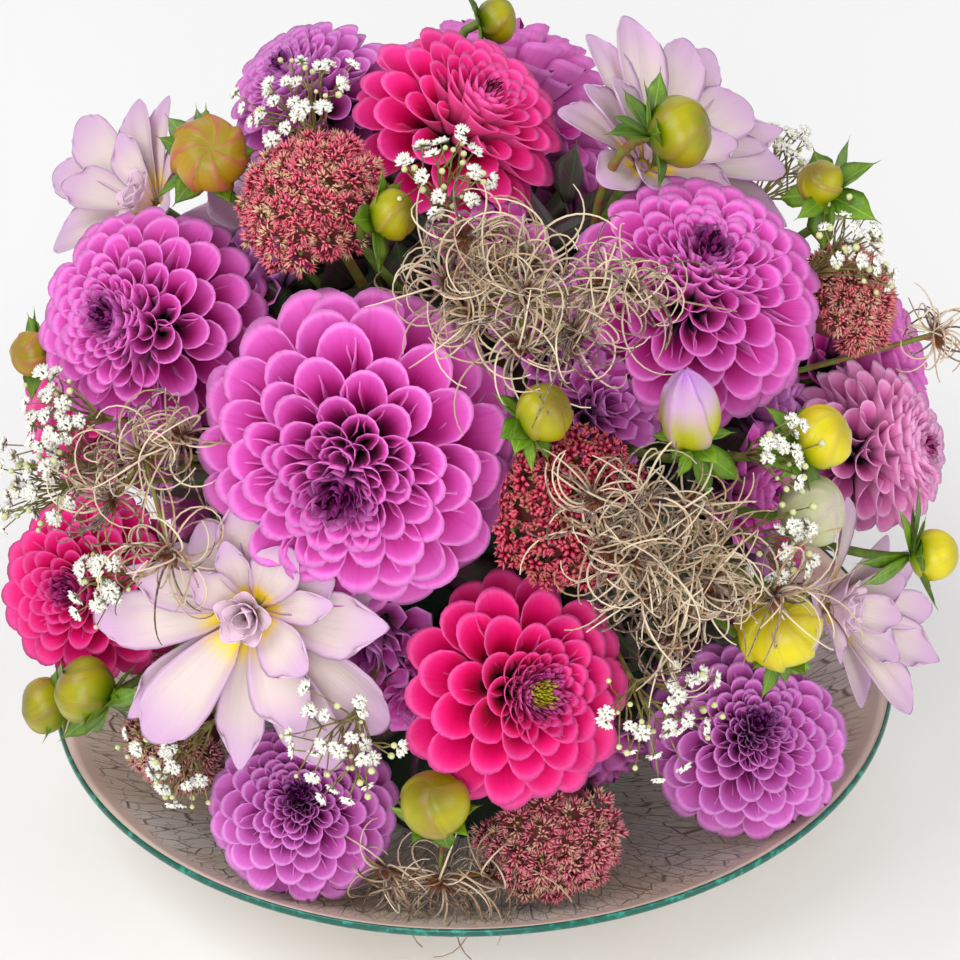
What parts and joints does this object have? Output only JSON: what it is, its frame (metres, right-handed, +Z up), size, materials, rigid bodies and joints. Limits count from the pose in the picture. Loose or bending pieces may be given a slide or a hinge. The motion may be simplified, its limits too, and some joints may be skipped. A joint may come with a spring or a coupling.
{
  "type": "floral table centerpiece",
  "caption": "Ball-shaped centerpiece of dahlias, buds, stonecrop, baby's breath and clematis seed heads standing in a shallow crackle glass dish.",
  "frame": {"origin": "middle of the dish's flat underside, on the table", "axes": "+Z up along the dish's axis, -Y towards the show side, +X to the right of that side"},
  "size_m": [0.3304, 0.3285, 0.2933],
  "materials": {
    "crackle_glass": "clear, crackled",
    "rim_glass": "cut edge, polished",
    "floral_foam": "wet, porous",
    "orchid_petal": "soft, satin",
    "magenta_petal": "soft, satin",
    "white_petal": "soft, satin",
    "bud_green": "smooth, satin",
    "stonecrop": "waxy",
    "breath_floret": "soft",
    "clematis_seed": "silky",
    "leaf": "satin",
    "stem": "smooth"
  },
  "bodies": {
    "root": {"orchid_ball_1": "orchid_petal", "orchid_ball_2": "orchid_petal", "orchid_ball_3": "orchid_petal", "orchid_ball_4": "orchid_petal", "orchid_ball_5": "orchid_petal", "orchid_ball_6": "orchid_petal", "orchid_ball_7": "orchid_petal", "orchid_ball_8": "orchid_petal", "orchid_ball_9": "orchid_petal", "orchid_ball_10": "orchid_petal", "orchid_ball_11": "orchid_petal", "orchid_ball_12": "orchid_petal", "magenta_bloom_1": "magenta_petal", "magenta_bloom_2": "magenta_petal", "magenta_bloom_3": "magenta_petal", "magenta_bloom_4": "magenta_petal", "magenta_bloom_5": "magenta_petal", "white_waterlily_1": "white_petal", "white_waterlily_2": "white_petal", "white_waterlily_3": "white_petal", "white_waterlily_4": "white_petal", "white_waterlily_5": "white_petal", "white_waterlily_6": "white_petal", "bud_1": "bud_green", "bud_2": "bud_green", "bud_3": "bud_green", "bud_4": "bud_green", "bud_5": "bud_green", "bud_6": "bud_green", "bud_7": "bud_green", "bud_8": "bud_green", "bud_9": "bud_green", "bud_10": "bud_green", "bud_11": "bud_green", "bud_12": "bud_green", "bud_13": "bud_green", "bud_14": "bud_green", "bud_15": "bud_green", "stonecrop_1": "stonecrop", "stonecrop_2": "stonecrop", "stonecrop_3": "stonecrop", "stonecrop_4": "stonecrop", "stonecrop_5": "stonecrop", "stonecrop_6": "stonecrop", "stonecrop_7": "stonecrop", "babys_breath_1": "breath_floret", "babys_breath_2": "breath_floret", "babys_breath_3": "breath_floret", "babys_breath_4": "breath_floret", "babys_breath_5": "breath_floret", "babys_breath_6": "breath_floret", "babys_breath_7": "breath_floret", "babys_breath_8": "breath_floret", "clematis_1": "clematis_seed", "clematis_2": "clematis_seed", "clematis_3": "clematis_seed", "clematis_4": "clematis_seed", "clematis_5": "clematis_seed", "glass_dish": "crackle_glass", "floral_foam": "floral_foam"}
  },
  "joints": []
}
